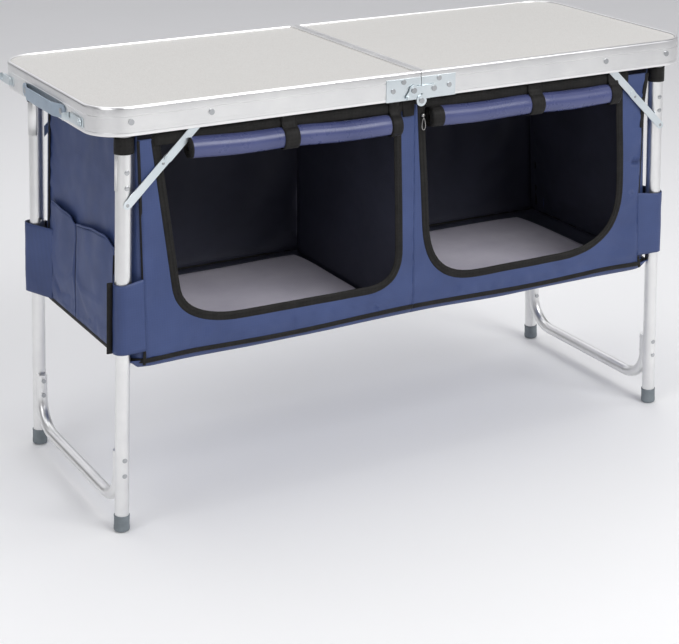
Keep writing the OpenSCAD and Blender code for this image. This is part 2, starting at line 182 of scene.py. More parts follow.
def weave(g, per_metre):
    """Height of a plain weave: two crossed sets of threads."""
    waves = []
    for direction in ("X", "Z"):
        node = g.add("ShaderNodeTexWave", wave_type="BANDS", bands_direction=direction)
        node.inputs["Scale"].default_value = per_metre / 20
        node.inputs["Distortion"].default_value = 1.2
        node.inputs["Detail"].default_value = 1
        g.join(g.coords, node.inputs["Vector"])
        waves.append(node.outputs["Fac"])
    return g.maths("MULTIPLY", waves[0], waves[1])


def coated_cloth(name, dark, light, roughness=0.5, sheen=0.25, crumple=0.5):
    """Coated polyester: a fine weave, soft cloudy colour and rubbed patches."""
    g = Graph(name)
    cloudy = g.noise(9, 5)
    threads = weave(g, 1400)
    colour = g.ramp(cloudy, [(0.3, dark), (0.72, light)])
    colour = g.mix(g.ranged(threads, 0, 0.44 * crumple), colour, tuple(c * 0.55 for c in dark))
    rough = g.ranged(g.noise(35, 3), roughness - 0.07, roughness + 0.1)
    normal = g.bump(g.noise(55, 4), crumple, 0.35)
    normal = g.bump(threads, 0.24 * crumple, 0.45, normal)
    g.put(Sheen_Weight=sheen, Sheen_Roughness=0.4)
    g.shader.inputs["Sheen Tint"].default_value = (*light, 1)
    return g.finish(colour, rough, normal)


def brushed_metal(name, dark, light, roughness, streak, grain=0.05):
    """Metal with fine streaks along one direction and faint cloudy tarnish."""
    g = Graph(name)
    streaks = g.noise(1, 3, 0.6, g.stretched(streak))
    cloudy = g.noise(14, 4)
    colour = g.ramp(cloudy, [(0.25, dark), (0.75, light)])
    rough = g.ranged(g.mix(0.5, streaks, cloudy), roughness - 0.06, roughness + 0.08)
    g.put(Metallic=1)
    return g.finish(colour, rough, g.bump(streaks, grain, 0.5))


def laminate():
    """Pale speckled decor foil under a clear satin coat."""
    g = Graph("laminate_top")
    fine = g.noise(900, 2, 0.7)
    flecks = g.noise(420, 1, 0.5)
    broad = g.noise(6, 3)
    base = g.ramp(fine, [(0.3, (0.50, 0.485, 0.455)), (0.7, (0.66, 0.65, 0.62))])
    spots = g.ramp(flecks, [(0.60, (0, 0, 0)), (0.68, (1, 1, 1))])
    base = g.mix(g.maths("MULTIPLY", spots, 0.35), base, (0.36, 0.34, 0.31))
    base = g.mix(g.ranged(broad, 0, 0.12), base, (0.70, 0.69, 0.66))
    rough = g.ranged(g.noise(60), 0.30, 0.42)
    g.put(Coat_Weight=0.2, Coat_Roughness=0.25)
    return g.finish(base, rough, g.bump(fine, 0.05, 0.3))


def moulded(name, dark, light, roughness=0.5, grain=0.12):
    """Moulded plastic or rubber with a fine grain and scuffs."""
    g = Graph(name)
    grains = g.noise(700, 3)
    scuffs = g.noise(45, 5)
    colour = g.ramp(scuffs, [(0.3, dark), (0.7, light)])
    rough = g.ranged(scuffs, roughness - 0.08, roughness + 0.12)
    return g.finish(colour, rough, g.bump(grains, grain, 0.5))


def webbing(name, dark, light):
    """Ribbed black binding tape."""
    g = Graph(name)
    ribs = weave(g, 900)
    colour = g.ramp(g.noise(70, 4), [(0.3, dark), (0.7, light)])
    colour = g.mix(g.ranged(ribs, 0, 0.4), colour, light)
    g.put(Sheen_Weight=0.03, Specular_IOR_Level=0.25)
    return g.finish(colour, g.ranged(ribs, 0.62, 0.8), g.bump(ribs, 0.25, 0.6))


LAMINATE = laminate()
ALUMINIUM = brushed_metal("aluminium", (0.80, 0.80, 0.80), (0.90, 0.90, 0.89), 0.30, (25, 25, 900))
TUBE = brushed_metal("tube_aluminium", (0.78, 0.78, 0.78), (0.90, 0.90, 0.89), 0.34, (900, 900, 12))
ZINC = brushed_metal("zinc_plate", (0.66, 0.73, 0.76), (0.82, 0.87, 0.89), 0.34, (90, 90, 90), 0.08)
RIVET = brushed_metal("rivet_steel", (0.36, 0.375, 0.39), (0.58, 0.59, 0.60), 0.30, (300, 300, 300))
ZIP_METAL = brushed_metal("zip_metal", (0.30, 0.29, 0.28), (0.52, 0.51, 0.49), 0.32, (500, 500, 500))
RUBBER = moulded("foot_rubber", (0.15, 0.175, 0.19), (0.22, 0.25, 0.27), 0.62)
HANDLE = moulded("handle_plastic", (0.29, 0.36, 0.44), (0.37, 0.45, 0.53), 0.42)
NAVY = coated_cloth("navy_cloth", (0.029, 0.051, 0.150), (0.044, 0.073, 0.200), 0.5, 0.12)
NAVY_ROLL = coated_cloth("navy_roll", (0.052, 0.064, 0.165), (0.080, 0.094, 0.220), 0.27, 0.1, 0.08)
LINING = coated_cloth("navy_lining", (0.024, 0.026, 0.044), (0.036, 0.039, 0.064), 0.6, 0.1)
BLACK = webbing("black_binding", (0.0045, 0.0041, 0.0038), (0.0125, 0.0115, 0.0105))
# Floor pad colour raised well past its own lilac grey: painted light making up for the shade inside the
# organiser.
PAD_PAINTED_LIGHT = coated_cloth("floor_pad", (0.66, 0.63, 0.74), (0.80, 0.77, 0.87), 0.55, 0.05)


# ---- mesh helpers ----


def put_object(name, data):
    thing = bpy.data.objects.new(name, data)
    bpy.context.collection.objects.link(thing)
    return thing


def make(name, vertices, faces, *materials):
    """A mesh object from millimetre vertices, smooth shaded."""
    mesh = bpy.data.meshes.new(name)
    mesh.from_pydata([Vector(v) * MM for v in vertices], [], faces)
    for material in materials:
        mesh.materials.append(material)
    mesh.shade_smooth()
    return put_object(name, mesh)


def outward(piece):
    """Turns a closed mesh's faces outwards."""
    bm = bmesh.new()
    bm.from_mesh(piece.data)
    bmesh.ops.recalc_face_normals(bm, faces=bm.faces)
    bm.to_mesh(piece.data)
    bm.free()
    return piece


def tube_faces(rows, count, closed=False):
    """Quads between rows of count points, each row a ring; closed joins last to first."""
    return [(r * count + k, r * count + (k + 1) % count,
             (r + 1) % rows * count + (k + 1) % count, (r + 1) % rows * count + k)
            for r in range(rows if closed else rows - 1) for k in range(count)]


def end_faces(rows, count):
    return [tuple(range(count)), tuple(reversed(range((rows - 1) * count, rows * count)))]


def grid(name, place, across, down, *materials):
    """A rectangular patch of (across x down) cells, place(u, v) giving each point."""
    vertices = [place(i / across, j / down) for j in range(down + 1) for i in range(across + 1)]
    wide = across + 1
    faces = [(j * wide + i, j * wide + i + 1, (j + 1) * wide + i + 1, (j + 1) * wide + i)
             for j in range(down) for i in range(across)]
    return make(name, vertices, faces, *materials)


def thicken(piece, thickness, offset=0, lined=False):
    """Gives a sheet its thickness; lined puts the second material on the inner face."""
    modifier = piece.modifiers.new("thickness", "SOLIDIFY")
    modifier.thickness = thickness * MM
    modifier.offset = offset
    if lined:
        modifier.material_offset = 1


def rounded_edges(piece, width):
    modifier = piece.modifiers.new("edges", "BEVEL")
    modifier.width = width * MM
    modifier.segments = 2
    modifier.limit_method = "ANGLE"
    modifier.angle_limit = EDGE_ANGLE
    modifier.use_clamp_overlap = True


def sweep(name, path, section, material, closed=False, up=(0, 0, 1)):
    """A section of (side, rise) points carried along a path; up is the rise direction."""
    count = len(path)
    vertices = []
    for i, point in enumerate(path):
        before = path[(i - 1) % count] if closed or i > 0 else path[i]
        after = path[(i + 1) % count] if closed or i < count - 1 else path[i]
        along = (Vector(after) - Vector(before)).normalized()
        side = along.cross(Vector(up)).normalized()
        rise = side.cross(along).normalized()
        vertices += [Vector(point) + side * a + rise * b for a, b in section]
    faces = tube_faces(count, len(section), closed)
    if not closed:
        faces += end_faces(count, len(section))
    return outward(make(name, vertices, faces, material))


def oval(width, height, sides=12):
    """An ellipse, as a section for sweep."""
    angles = [2 * pi * k / sides for k in range(sides)]
    return [(width / 2 * cos(a), height / 2 * sin(a)) for a in angles]


def lathe(name, profile, base, axis, material, sides=40):
    """(radius, height) points turned about an axis from a base point, capped at both ends."""
    turn = Vector(axis).to_track_quat("Z", "Y").to_matrix()
    angles = [2 * pi * k / sides for k in range(sides)]
    vertices = [Vector(base) + turn @ Vector((radius * cos(a), radius * sin(a), height))
                for radius, height in profile for a in angles]
    faces = tube_faces(len(profile), sides) + end_faces(len(profile), sides)
    return outward(make(name, vertices, faces, material))


def face_towards(piece, direction):
    """Makes an open sheet's faces look along a direction."""
    if sum(f.normal.dot(Vector(direction)) * f.area for f in piece.data.polygons) < 0:
        piece.data.flip_normals()


def face_away(piece, centre):
    """Makes a wrapped sheet's faces look away from a centre."""
    if sum((f.center / MM - centre).dot(f.normal) * f.area for f in piece.data.polygons) < 0:
        piece.data.flip_normals()


def join(name, pieces):
    """Joins meshes into one object."""
    bpy.ops.object.select_all(action="DESELECT")
    for piece in pieces:
        piece.select_set(True)
    bpy.context.view_layer.objects.active = pieces[0]
    bpy.ops.object.join()
    pieces[0].name = name
    return pieces[0]


def ripple(x, y, z, size, seed=0):
    """Smooth noise from -1 to 1, with features about size millimetres across."""
    return noise.noise(Vector((x / size + seed, y / size - seed, z / size + 2 * seed)))


def ease(t):
    """Smooth step from 0 to 1."""
    t = min(max(t, 0), 1)
    return t * t * (3 - 2 * t)


def run(points):
    """Length of a line of points."""
    return sum((b - a).length for a, b in zip(points, points[1:]))


def along(points, t):
    """The point at fraction t of a line's length."""
    lengths = np.cumsum([0] + [(b - a).length for a, b in zip(points, points[1:])])
    want = min(max(t, 0), 1) * lengths[-1]
    k = min(int(np.searchsorted(lengths, want, side="right")) - 1, len(points) - 2)
    return points[k].lerp(points[k + 1], (want - lengths[k]) / (lengths[k + 1] - lengths[k]))


def drape(piece, pinned, limit):
    """Lets slack cloth settle between its pinned points, each by at most limit millimetres."""
    start = [v.co.copy() for v in piece.data.vertices]
    group = piece.vertex_groups.new(name="pinned")
    group.add([i for i, v in enumerate(start) if pinned(v / MM)], 1, "REPLACE")
    cloth = piece.modifiers.new("cloth", "CLOTH")
    for key, value in dict(quality=6, mass=0.12, tension_stiffness=60, compression_stiffness=60,
                           shear_stiffness=20, bending_stiffness=0.8, tension_damping=20, air_damping=4,
                           vertex_group_mass="pinned", shrink_min=-CLOTH_SLACK).items():
        setattr(cloth.settings, key, value)
    cloth.collision_settings.use_collision = False
    cloth.collision_settings.use_self_collision = False
    cloth.point_cache.frame_start = 1
    cloth.point_cache.frame_end = CLOTH_FRAMES
    scene = bpy.context.scene
    for number in range(1, CLOTH_FRAMES + 1):
        scene.frame_set(number)
    settled = piece.evaluated_get(bpy.context.evaluated_depsgraph_get())
    ends = [v.co.copy() for v in settled.data.vertices]
    piece.modifiers.remove(cloth)
    for vertex, begin, end in zip(piece.data.vertices, start, ends):
        move = end - begin
        reach = limit * MM
        if move.length > 1e-9:
            move *= reach * tanh(move.length / reach) / move.length
        vertex.co = begin + move
    scene.frame_set(1)


def collapse(piece, body):
    """A piece of the organiser, attached to a body of the top with its own copy of the mesh."""
    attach(piece, body)
    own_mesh(piece)


def tuck(piece, body):
    """A rolled piece, attached to a body of the top with its own copy of the mesh."""
    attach(piece, body)
    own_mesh(piece)


def fasten(name, pieces, body):
    """Joins hard pieces into one that rides on a body."""
    piece = join(name, pieces)
    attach(piece, body)
    return piece


# ---- table top ----


def rim_profile():
    """(outward, height) outline of the rim extrusion, from its inner lip over the top and down."""
    drops = [(-6, 2), (-5.6, 0.7), (-4.4, 0), (-2.6, 0.1), (-1.1, 1), (-0.3, 2.6), (-0.05, 5),
             (-0.05, 14.6), (-0.7, 15.1), (-0.7, 16.4), (0, 17), (0, 36.2), (-0.6, 36.7),
             (-0.6, 42.4), (0, 43), (0.1, 46.4), (-0.4, 48.2), (-1.8, 48.9), (-8, 49),
             (-8, 47.3), (-1.9, 47.2), (-1.6, 46), (-1.6, 3), (-2.4, 2)]
    return [(out, TOP_Z - drop) for out, drop in drops]


def rim_path(sign):
    """Points round the outer edge of a half, from the seam along the front to the seam at the back."""
    arc = [radians(90 * k / 14) for k in range(15)]
    cx, cy = HALF_LEN - CORNER_R, HALF_WID - CORNER_R
    path = [(0.5, -HALF_WID)]
    path += [(0.5 + (cx - 0.5) * k / 4, -HALF_WID) for k in range(1, 4)]
    path += [(cx + CORNER_R * sin(a), -cy - CORNER_R * cos(a)) for a in arc]
    path += [(HALF_LEN, 0)]
    path += [(cx + CORNER_R * cos(a), cy + CORNER_R * sin(a)) for a in arc]
    path += [(cx + (0.5 - cx) * k / 4, HALF_WID) for k in range(1, 5)]
    return [(sign * x, y) for x, y in path]


def make_rim(side, sign):
    """The rim extrusion swept round three sides of a half."""
    path = rim_path(sign)
    outline = rim_profile()
    vertices = []
    for i, point in enumerate(path):
        before, after = path[max(i - 1, 0)], path[min(i + 1, len(path) - 1)]
        along = (Vector(after) - Vector(before)).normalized()
        normal = Vector((along.y, -along.x)) * sign
        vertices += [(point[0] + normal.x * a, point[1] + normal.y * a, z) for a, z in outline]
    faces = tube_faces(len(path), len(outline)) + end_faces(len(path), len(outline))
    rim = outward(make(side + "_rim_extrusion", vertices, faces, ALUMINIUM))
    rim.data.set_sharp_from_angle(angle=radians(38))
    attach(rim, side + "_top")
    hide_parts(side + "_rim")


# ---- CAD nodes that stay, with better materials ----


def dress(node, material, edges=0):
    """Gives a CAD node its material, crisp shading and slightly rounded edges."""
    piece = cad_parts[node]
    piece.data.materials.clear()
    piece.data.materials.append(material)
    piece.data.shade_smooth()
    piece.data.set_sharp_from_angle(angle=EDGE_ANGLE)
    if edges:
        rounded_edges(piece, edges)


def dress_nodes():
    for side in ("left", "right"):
        for node, material, edges in (
                ("panel", LAMINATE, 0), ("seam_rail", ALUMINIUM, 0), ("hinge_leaves", ZINC, 0.35),
                ("rim_rivets", RIVET, 0.5), ("leg_axles", RIVET, 0.6), ("stay_pins", RIVET, 0.5),
                ("stay_studs", RIVET, 0.4), ("stay_rim_links", ZINC, 0.45), ("stay_leg_links", ZINC, 0.45),
                ("foot_bar", TUBE, 0), ("bar_rivets", RIVET, 0.5)):
            dress(f"{side}_{node}", material, edges)
        for row in ("front", "rear"):
            dress(f"{row}_{side}_upper_leg", TUBE)
            dress(f"{row}_{side}_lower_leg", TUBE)
    for row in ("front", "rear"):
        dress(row + "_lock_lever", ZINC, 0.35)
        dress(row + "_catch_arm", ZINC, 0.4)
    for node in ("hinge_pins", "lever_rivets", "lock_pins", "handle_studs", "catch_strikes"):
        dress(node, RIVET, 0.5)
    dress("catch_bases", ZINC, 0.35)


# ---- legs and end fittings ----


def leg_point(drop, y, sign=-1, out=0):
    """A point on a leg's line: drop below the axle, out towards the table's end."""
    along = Vector((sign * sin(LEAN), 0, -cos(LEAN)))
    across = Vector((sign * cos(LEAN), 0, -sin(LEAN)))
    return Vector((sign * AXLE_X, y, AXLE_Z)) + along * drop + across * out


def leg_x(z):
    """How far out a leg's centre line is at a height."""
    return AXLE_X + (AXLE_Z - z) * tan(LEAN)


def make_feet(side, sign):
    """Moulded ferrules with a lip, a slight taper and a rounded ground edge."""
    drop = AXLE_Z / cos(LEAN)
    feet = []
    for y in (-LEG_Y, LEG_Y):
        axis = -Vector((sign * sin(LEAN), 0, -cos(LEAN)))
        profile = [(12.7, 30.2), (13.5, 30.2), (13.9, 29.6), (14, 27.4), (13.6, 26.4), (13.7, 11),
                   (14.1, 8.5), (14.2, 3.5), (13.5, 1.6), (12, 0.8), (4, 0.8)]
        foot = lathe("foot", profile, leg_point(drop, y, sign), axis, RUBBER, 44)
        for vertex in foot.data.vertices:
            vertex.co.z = max(vertex.co.z, 0)
        feet.append(foot)
    feet = fasten(side + "_ferrules", feet, side + "_lower_legs")
    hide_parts(side + "_feet")


def dome(base, axis, radius, height):
    """A rivet's head."""
    profile = [(radius, 0), (radius, height * 0.35)]
    profile += [(radius * cos(a), height * (0.35 + 0.65 * sin(a)))
                for a in (radians(15 * k) for k in range(1, 6))]
    return lathe("rivet", profile, base, axis, RIVET, 20)


def make_leg_rivets(side, sign):
    """Two dome rivets on the outer face of each tube, at the bracket and at the foot bar's end."""
    for body, radius, drops in (("_upper_legs", UPPER_R, (87, 113)),
                                ("_lower_legs", LOWER_R, (BAR_END + 11, BAR_END + 40))):
        rivets = [dome(leg_point(drop, y * (LEG_Y + radius - 0.4), sign), (0, y, 0), 4.4, 1.6)
                  for y in (-1, 1) for drop in drops]
        fasten(side + body + "_rivets", rivets, side + body)


def make_snap_buttons(side, sign):
    """Sprung buttons on each leg's inner face, riding on the lower tube."""
    profile = [(5.3, 0), (5.3, 1.5), (3.9, 1.6), (3.9, 8.1), (3.6, 8.8), (2.7, 9.25), (1.2, 9.4)]
    for row, y in (("front", -1), ("rear", 1)):
        base = leg_point(BUTTON_DROP, y * (LEG_Y - 7.3), sign)
        button = lathe(f"{row}_{side}_snap_button", profile, base, (0, -y, 0), RIVET, 28)
        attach(button, side + "_lower_legs")
        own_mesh(button)
        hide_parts(side + "_snap_buttons")


def make_elbow_rivets(side, sign):
    """Two small rivets at the elbow of each stay, on its outer face."""
    start, end = leg_point(STAY_REACH, 0, sign), Vector((sign * (AXLE_X - STAY_REACH), 0, AXLE_Z))
    face = -mm_box(side + "_stay_leg_links")[0].y
    rivets = [dome(start.lerp(end, t) + Vector((0, y * (face - 0.3), 0)), (0, y, 0), 2.6, 1.1)
              for y in (-1, 1) for t in (0.44, 0.56)]
    fasten(side + "_elbow_rivets", rivets, side + "_leg_links")


def make_leg_brackets(side, sign):
    """Sheet saddles pressed against the outer side of the upper tubes, under the rim."""
    saddles, r = [], UPPER_R + 0.7
    start, turn = BRACKET_WRAP
    for y in (-LEG_Y, LEG_Y):
        def place(u, v):
            angle = radians(start + turn * u) * (1 if y < 0 else -1)
            return leg_point(BRACKET_TOP + BRACKET_LEN * v, y + r * sin(angle), sign, r * cos(angle))

        saddle = grid("saddle", place, 20, 2, TUBE)
        face_away(saddle, leg_point(74, y, sign))
        saddles.append(saddle)
    thicken(fasten(side + "_leg_brackets", saddles, side + "_upper_legs"), 0.9)


def make_handle():
    """A bowed strap handle with moulded ribs, a thick grip and pads round its studs."""
    low, high = mm_box("carry_handle")
    middle = (low.z + high.z) / 2
    half_span = high.y
    rows, sides, vertices = 81, 16, []
    for k in range(rows):
        y = -half_span + 2 * half_span * k / (rows - 1)
        reach = abs(y)
        bow = 8.2 * ease((91 - reach) / 32)
        rib = 0.55 * (0.5 + 0.5 * cos(2 * pi * y / 8)) if reach < 58 else 0
        point = Vector((-HALF_LEN - 1.6 - bow, y, middle))
        end = ease((half_span - reach) / 9 + 0.25)
        thick, tall = 3 + rib, (24 if reach > 62 else 22.6 + rib) * (0.55 + 0.45 * end)
        for a in (2 * pi * i / sides for i in range(sides)):
            vertices.append(point + Vector((copysign(abs(cos(a)) ** 0.5, cos(a)) * thick / 2, 0,
                                            copysign(abs(sin(a)) ** 0.35, sin(a)) * tall / 2)))
    faces = tube_faces(rows, sides) + end_faces(rows, sides)
    handle = outward(make("strap_handle", vertices, faces, HANDLE))
    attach(handle, "left_top")
    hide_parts("carry_handle")


# ---- organiser ----


def rounded_polygon(corners, reaches, steps=12):
    """Closed outline in the side view; each corner is eased off from reach before to reach after it."""
    points, count = [], len(corners)
    for i, (corner, (before, after)) in enumerate(zip(corners, reaches)):
        p = Vector(corner)
        start = p + (Vector(corners[i - 1]) - p).normalized() * before
        end = p + (Vector(corners[(i + 1) % count]) - p).normalized() * after
        for k in range(steps + 1):
            t = k / steps
            points.append(start.lerp(p, t).lerp(p.lerp(end, t), t))
    return points


def resample(points, spacing):
    """Even points along a closed outline."""
    ring = points + points[:1]
    count = max(8, int(run(ring) / spacing))
    return [along(ring, i / count) for i in range(count)]


def crossing(outline, centre, direction):
    """Where a ray from the centre leaves a closed outline."""
    best = None
    for a, b in zip(outline, outline[1:] + outline[:1]):
        edge = b - a
        cross = direction.x * edge.y - direction.y * edge.x
        if abs(cross) < 1e-9:
            continue
        offset = a - centre
        along = (offset.x * edge.y - offset.y * edge.x) / cross
        share = (offset.x * direction.y - offset.y * direction.x) / cross
        if along > 0 and -1e-6 <= share <= 1 + 1e-6 and (best is None or along > best):
            best = along
    return centre + direction * best


class Side:
    """The measures that differ between the left and right compartments."""

    def __init__(self, name, sign, window, reaches, edge, roll, black_end, straps, tilt, pad):
        self.name, self.sign, self.body = name, sign, name + "_top"
        self.window = rounded_polygon(window, reaches)
        self.edge, self.roll, self.black_end, self.straps = edge, roll, black_end, straps
        self.tilt, self.pad = tilt, pad

    def panel_edge(self, z):
        """How far out the front panel reaches at a height."""
        heights, reach = zip(*self.edge)
        return self.sign * float(np.interp(z, heights, reach))

    def roll_z(self, x):
        """Height of the rolled door's axis, which isn't quite level."""
        return ROLL_Z + float(np.interp(x, self.roll, self.tilt))


LEFT = Side("left", -1, [(-501, 699), (-466, 360), (-24, 357), (-32, 699)],
            [(8, 8), (75, 125), (75, 75), (8, 8)],
            [(305, 528), (450, 526), (640, 524), (706, 524)],
            (-439, -40), (-58, -36), ((-253, 28), (-47, 20)),
            (3, -6), (-523, -32))
RIGHT = Side("right", 1, [(452, 699), (476, 353), (25, 352), (4, 699)],
             [(8, 8), (135, 150), (115, 112), (8, 8)],
             [(305, 521), (330, 517), (450, 508), (640, 506), (706, 513)],
             (25, 431), (24, 49), ((250, 29), (427, 22)),
             (-1, -4), (13, 510))

def hem_z(x):
    """Height of the front panel's bottom seam: level, dropping a little to the outer corners."""
    reach = abs(x) / HALF_HEM
    return 313.5 + 2.5 * cos(2 * pi * x / HALF_HEM) - 4 * ease((reach - 0.8) / 0.2)


def front_surface(x, z):
    """The front panels' outer face, with slight fullness below the windows."""
    full = ease((640 - z) / 140) * ease((z - SIDE_LOW) / 30)
    fold = 1.3 * ripple(x, 0, z, 130, 3) + 0.6 * ripple(x, 0, z, 55, 7)
    pull = 1.2 * ripple(x + z, 0, (z - x) * 0.25, 45, 19) * ease((430 - z) / 60)
    return Vector((x, FRONT_Y - 1 - full * (2 + fold + pull), z))


def make_front_panel(side):
    """Front wall round its big window, in rings from the outline to the window's edge."""
    outer_x = side.panel_edge(SIDE_LOW)
    inner_x = CENTRE_X - side.sign * 0.3
    outline = [Vector((x, hem_z(x))) for x in np.linspace(outer_x, inner_x, 25)]
    outline += [Vector((inner_x, CLOTH_TOP))]
    outline += [Vector((side.panel_edge(z), z)) for z in np.linspace(CLOTH_TOP, SIDE_LOW + 8, 12)]
    centre = Vector((sum(p.x for p in side.window) / len(side.window), 530))
    opening = ribbon_points(side, 11.5)
    angles = {round(atan2(*(p - centre).yx), 4) for p in resample(opening, 11)}
    angles |= {round(atan2(*(p - centre).yx), 4) for p in outline}
    rings, vertices = 9, []
    rays = [Vector((cos(angle), sin(angle))) for angle in sorted(angles)]
    spans = [(crossing(opening, centre, ray), crossing(outline, centre, ray)) for ray in rays]
    for ring in range(rings + 1):
        for inner, outer in spans:
            point = inner.lerp(outer, ring / rings)
            vertices.append(front_surface(point.x, point.y))
    faces = tube_faces(rings + 1, len(rays))
    panel = make(side.name + "_front_cloth", vertices, faces, NAVY, LINING)
    face_towards(panel, (0, -1, 0))
    rim = resample(side.window, 9)
    drape(panel, lambda p: p.z > CLOTH_TOP - 12 or p.z < hem_z(p.x) + 8 or abs(p.x - CENTRE_X) < 3
          or abs(p.x - side.panel_edge(p.z)) < 3 or min((Vector((p.x, p.z)) - q).length for q in rim) < 17,
          3)
    thicken(panel, 1.6, lined=True)
    collapse(panel, side.body)
    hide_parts(side.name + "_front_panel")


def ribbon_points(side, inset):
    """The window's outline moved inwards by inset, on the front surface."""
    ring = resample(side.window, 7)
    count, points = len(ring), []
    centre = Vector((sum(p.x for p in ring) / count, sum(p.y for p in ring) / count))
    for i, p in enumerate(ring):
        along = (ring[(i + 1) % count] - ring[i - 1]).normalized()
        normal = Vector((-along.y, along.x))
        if normal.dot(centre - p) < 0:
            normal = -normal
        points.append(p + normal * inset)
    return points


def make_window_trim(side):
    """Binding tape and zip round the window, as a flat band with raised edges."""
    shape = [(-2, 0.6), (0, 2.2), (3, 1.8), (6, 1.3), (7.2, 2.3), (8.6, 2.3), (9.8, 1.2),
             (12.6, 1), (13.4, 0), (12.6, -1), (0, -1.2), (-2, -0.4)]
    vertices = [front_surface(p.x, p.y) + Vector((0, -rise, 0))
                for inset, rise in shape for p in ribbon_points(side, inset)]
    faces = tube_faces(len(shape), len(vertices) // len(shape), closed=True)
    collapse(outward(make(side.name + "_window_binding", vertices, faces, BLACK)), side.body)


def wall_x(z):
    """The outer walls lean out towards the floor, like the legs."""
    return WALL_X + WALL_SPLAY * (WALL_Z - z) / WALL_FALL


def wall_point(side, y, z):
    """Outer face of a side wall, slack between its top and bottom seams."""
    across = min(max((y + 184) / 340, 0), 1)
    down = min(max((700 - z) / 390, 0), 1)
    slack = sin(pi * across) * sin(pi * down)
    crease = 3.2 * ripple(0, y * 1.1 + z * 0.45, (z - y) * 0.16, 42, 11) + ripple(0, y, z, 34, 5)
    return Vector((side.sign * (wall_x(z) + slack * (2.5 + crease)), y, z))


def wall_track(side, u, z):
    """Plan of a side wall from the back wall's end, inside both legs, to the front panel's edge."""
    x = wall_x(z)
    stops = [(x - 2.5, BACK_Y + 0.5), (x - 0.7, BACK_Y - 3), (x, BACK_Y - 26), (x, -150), (x, -184),
             (x - 4, -196), (abs(side.panel_edge(z)) + 1.5, FRONT_Y + 2)]
    ends = [0, 0.02, 0.1, 0.84, 0.92, 0.955, 1]
    out = float(np.interp(u, ends, [p[0] for p in stops]))
    y = float(np.interp(u, ends, [p[1] for p in stops]))
    if 0.1 < u < 0.92:
        return wall_point(side, y, z)
    return Vector((side.sign * out, y, z))


def wall_seam(p):
    return p.z > WALL_TOP - 6 or p.z < WALL_LOW + 6


def make_side_wall(side):
    """Outer side wall, turned in at both corners to meet the back wall and the front panel."""
    def place(u, v):
        return wall_track(side, u, WALL_TOP + (WALL_LOW - WALL_TOP) * v)

    cells = 50
    wall = grid(side.name + "_side_cloth", place, cells, 36, NAVY, LINING)
    face_towards(wall, (side.sign, 0, 0))
    length = run([wall_track(side, k / cells, 500) for k in range(cells + 1)])
    drape(wall, lambda p: wall_seam(p) or p.y < -180 or p.y > BACK_Y - 12, 5)
    thicken(wall, 1.4, lined=True)
    collapse(wall, side.body)


def make_back_wall(side):
    def place(u, v):
        z = WALL_TOP + (WALL_LOW - WALL_TOP) * v
        x = side.sign * (wall_x(z) - 2) * (1 - u) + CENTRE_X * u
        full = sin(pi * u) * sin(pi * v)
        return Vector((x, BACK_Y + full * (3 + 3 * ripple(x, 0, z, 120, 2)), z))

    wall = grid(side.name + "_back_cloth", place, 44, 32, NAVY, LINING)
    face_towards(wall, (0, 1, 0))
    drape(wall, lambda p: wall_seam(p) or abs(p.x) < 8 or abs(p.x) > 520, 6)
    thicken(wall, 1.4, lined=True)
    collapse(wall, side.body)
    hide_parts(side.name + "_organiser_walls")
    flat = (wall_x(WALL_LOW) * MM, (WALL_TOP - WALL_LOW) * MM)


def base_z(x, y):
    """Height of the floor cloth, which hangs a little below its seams."""
    outer = wall_x(SIDE_LOW)
    v = (y - FRONT_Y + 1.5) / BASE_DEEP
    seam = hem_z(x) if v < 0.5 else SIDE_LOW
    drop = ease(min((outer - abs(x)) / outer / 0.04, v / 0.03, (1 - v) / 0.05))
    dip = 2 + 6 * ease(abs(x) / 220)
    low = FLOOR_Z - 1.5 - 0.6 * dip + 1.2 * ripple(x, y, 0, 130, 4)
    return seam + (low - seam) * drop


def make_base(side):
    outer = side.sign * wall_x(SIDE_LOW)

    def place(u, v):
        x = outer * (1 - u) + CENTRE_X * u
        y = FRONT_Y - 1.5 + BASE_DEEP * v
        z = base_z(x, y)
        corner = 9 * ease((0.08 - u) / 0.08) * ease((0.12 - v) / 0.12)
        return Vector((x, y + corner, z))

    base = grid(side.name + "_base_cloth", place, 60, 44, NAVY, LINING)
    face_towards(base, (0, 0, -1))
    thicken(base, 1.4, lined=True)
    collapse(base, side.body)
    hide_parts(side.name + "_organiser_base")


def make_partition():
    def place(u, v):
        y = FRONT_Y + 4 + (BACK_Y - FRONT_Y - 6) * u
        top, bottom = CLOTH_TOP + 2, base_z(-24, y) + 1.5
        z = top + (bottom - top) * v
        full = sin(pi * u) * sin(pi * v)
        return Vector((-18 - 6 * v + full * 4 * ripple(0, y, z, 110, 9), y, z))

    wall = grid("partition_cloth", place, 32, 30, LINING, LINING)
    face_towards(wall, (-1, 0, 0))
    thicken(wall, 1.6)
    collapse(wall, "left_top")
    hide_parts("centre_partition")


def make_floor_pad(side):
    """Stiffened floor pad with rounded corners, dished a little."""
    low, high = mm_box(side.name + "_floor_pad")
    x0, x1 = side.pad
    cx, cy = (x0 + x1) / 2, (low.y + high.y) / 2
    half_x, half_y = (x1 - x0) / 2, (high.y - low.y) / 2 - 2

    def place(u, v):
        a, b = 2 * u - 1, 2 * v - 1
        corner = 1 - 0.035 * (a * b) ** 6
        x, y = cx + half_x * a * corner, cy + half_y * b * corner
        lift = 3.5 * ease(1 + x / 220) if x < 0 else 0
        return Vector((x, y, FLOOR_Z + 2.8 + lift + 1 * ripple(x, y, 0, 170, 8)))

    # The pad's material is painted lighter to stand in for light the organiser's shade takes away.
    pad = grid(side.name + "_pad", place, 40, 30, PAD_PAINTED_LIGHT, PAD_PAINTED_LIGHT)
    face_towards(pad, (0, 0, 1))
    thicken(pad, 2.6, -1)
    rounded_edges(pad, 0.9)
    collapse(pad, side.body)
    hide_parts(side.name + "_floor_pad")


